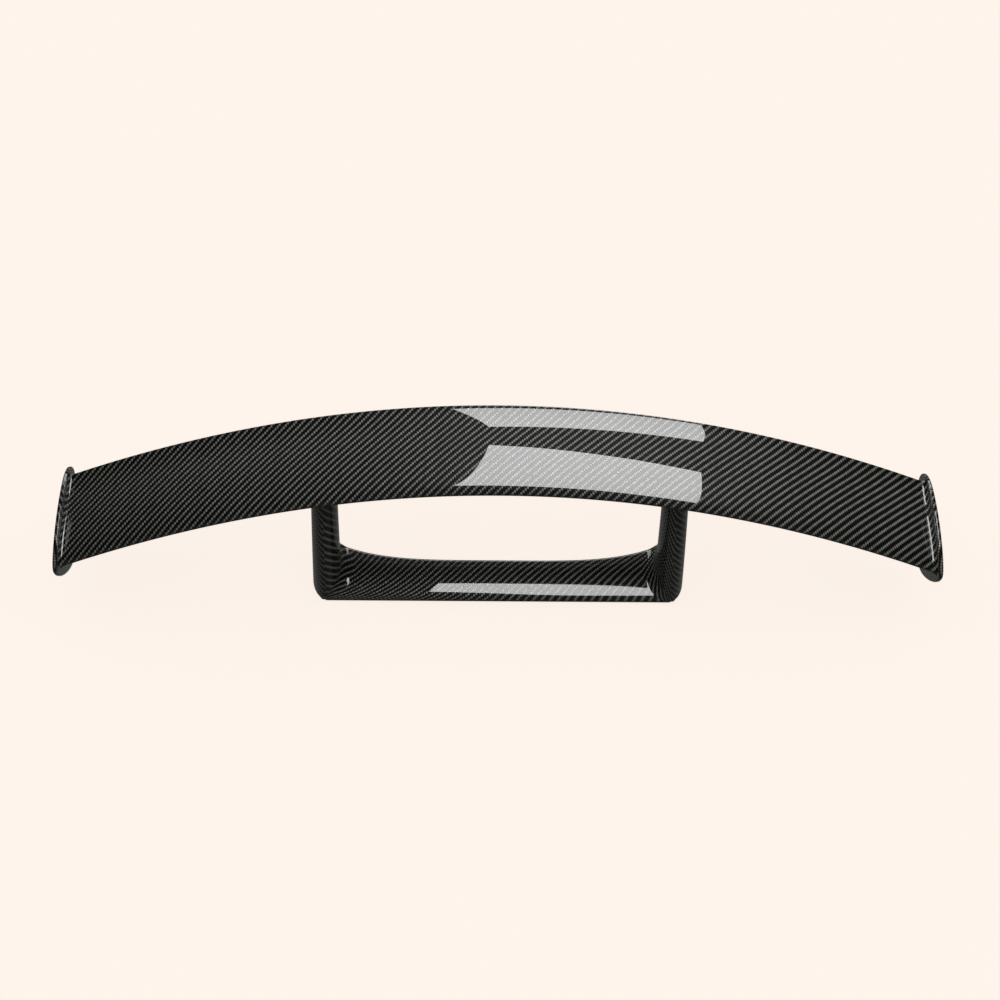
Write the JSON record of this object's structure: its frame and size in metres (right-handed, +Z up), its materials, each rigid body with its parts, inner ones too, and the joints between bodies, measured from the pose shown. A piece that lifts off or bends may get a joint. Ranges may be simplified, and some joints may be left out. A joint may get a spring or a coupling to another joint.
{
  "type": "racing rear wing",
  "caption": "Arched hollow carbon-fibre rear wing with upturned trailing edge and rounded end plates, carried on a one-piece U-shaped moulded pedestal that bolts to a lid.",
  "frame": {"origin": "centre of the four lid bolts, on the underside of the pedestal's gasket, which is the face that rests on the lid", "axes": "+X to the wing's right seen from its leading edge, along the span; +Y rearwards, from leading edge to trailing edge; +Z up, away from the lid"},
  "size_m": [1.216, 0.2058, 0.229],
  "materials": {
    "blade_carbon": "two-by-two twill carbon laminate under a gloss clear coat",
    "plate_carbon": "two-by-two twill carbon laminate under a gloss clear coat",
    "pedestal_carbon": "two-by-two twill carbon laminate under a gloss clear coat",
    "inner_carbon": "bare matt carbon laminate",
    "foam": "machined rigid foam",
    "alloy": "machined, clear anodised",
    "steel": "black oxide socket screws",
    "insert_steel": "turned stainless",
    "rubber": "moulded closed-cell rubber"
  },
  "bodies": {
    "root": {"blade_upper_skin": "blade_carbon", "blade_lower_skin": "blade_carbon", "front_spar": "inner_carbon", "rear_spar": "inner_carbon", "leading_edge_core": "foam", "trailing_edge_core": "foam", "rib_centre": "inner_carbon", "rib_left_inner": "inner_carbon", "rib_left_outer": "inner_carbon", "rib_left_mid": "inner_carbon", "rib_right_inner": "inner_carbon", "rib_right_outer": "inner_carbon", "rib_right_mid": "inner_carbon", "tip_rib_left": "alloy", "tip_rib_right": "alloy", "hardpoint_left": "alloy", "hardpoint_right": "alloy", "end_plate_left": "plate_carbon", "end_plate_right": "plate_carbon", "tip_fillet_left": "blade_carbon", "tip_fillet_right": "blade_carbon", "end_plate_screws_left": "steel", "end_plate_screws_right": "steel", "pedestal_window_skin": "pedestal_carbon", "pedestal_outer_skin": "pedestal_carbon", "bar_core": "foam", "strut_bracket_left": "alloy", "strut_bracket_right": "alloy", "saddle_pad_left": "rubber", "saddle_pad_right": "rubber", "head_screws_left": "steel", "head_screws_right": "steel", "lid_inserts": "insert_steel", "bar_inserts": "insert_steel", "foot_gasket": "rubber"}
  },
  "joints": []
}
